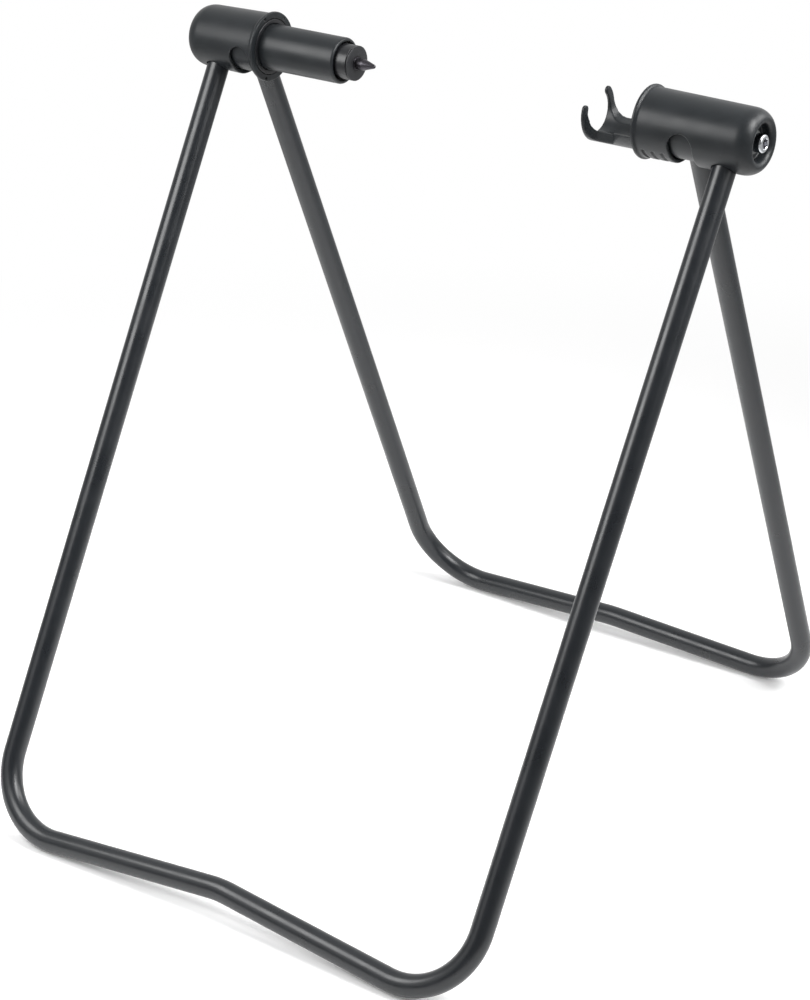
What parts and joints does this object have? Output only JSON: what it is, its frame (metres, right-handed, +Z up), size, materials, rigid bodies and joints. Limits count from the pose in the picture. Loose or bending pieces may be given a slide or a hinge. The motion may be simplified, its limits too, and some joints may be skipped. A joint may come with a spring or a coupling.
{
  "type": "folding bicycle wheel stand",
  "caption": "Folding wheel stand with U-shaped tube frames; a sprung pin and an open cradle in its heads hold a bicycle's rear axle so the wheel turns clear of the floor.",
  "frame": {"origin": "on the floor, below the middle of the stand's bounding box, with the stand open", "axes": "+Z up; +X along the head axis from the sprung pin's side to the cradle's side; -Y towards the larger front frame's foot"},
  "size_m": [0.3656, 0.4233, 0.4256],
  "materials": {
    "powder_coated_steel": "satin black powder coat",
    "moulded_nylon": "fine spark-eroded texture, matte black",
    "black_acetal": "smooth, turned black acetal",
    "white_acetal": "natural white acetal",
    "blackened_steel": "turned and blackened",
    "chrome_steel": "bright chrome plate",
    "zinc_plated_steel": "clear zinc plate",
    "spring_steel": "drawn spring wire"
  },
  "bodies": {
    "front_frame": {"front_frame_tube": "powder_coated_steel", "left_housing": "moulded_nylon", "right_housing": "moulded_nylon", "left_mouth_bush": "black_acetal", "left_pivot_screw": "chrome_steel", "right_pivot_screw": "chrome_steel", "left_screw_washer": "zinc_plated_steel", "right_screw_washer": "zinc_plated_steel", "left_friction_washer": "white_acetal", "right_friction_washer": "white_acetal"},
    "rear_frame": {"rear_frame_tube": "powder_coated_steel", "left_spindle": "moulded_nylon", "right_cradle": "moulded_nylon", "left_nut_washer": "zinc_plated_steel", "right_nut_washer": "zinc_plated_steel", "left_lock_nut": "zinc_plated_steel", "right_lock_nut": "zinc_plated_steel", "spring_seat_cup": "white_acetal", "plunger_spring": "spring_steel"},
    "plunger": {"plunger_sleeve": "black_acetal", "plunger_cap": "black_acetal", "plunger_pin": "blackened_steel", "plunger_clip": "zinc_plated_steel"}
  },
  "joints": [
    {"name": "rear_fold", "type": "hinge", "parent": "front_frame", "child": "rear_frame", "pos_m": [0, 0.0291, 0.406], "axis": [-1, 0, 0], "range_deg": [0, 99]},
    {"name": "plunger_slide", "type": "slide", "parent": "rear_frame", "child": "plunger", "axis": [-1, 0, 0], "range_m": [0, 0.012], "stiffness_N_per_m": 500, "springref_m": -0.01, "deforming": ["plunger_spring"]}
  ]
}
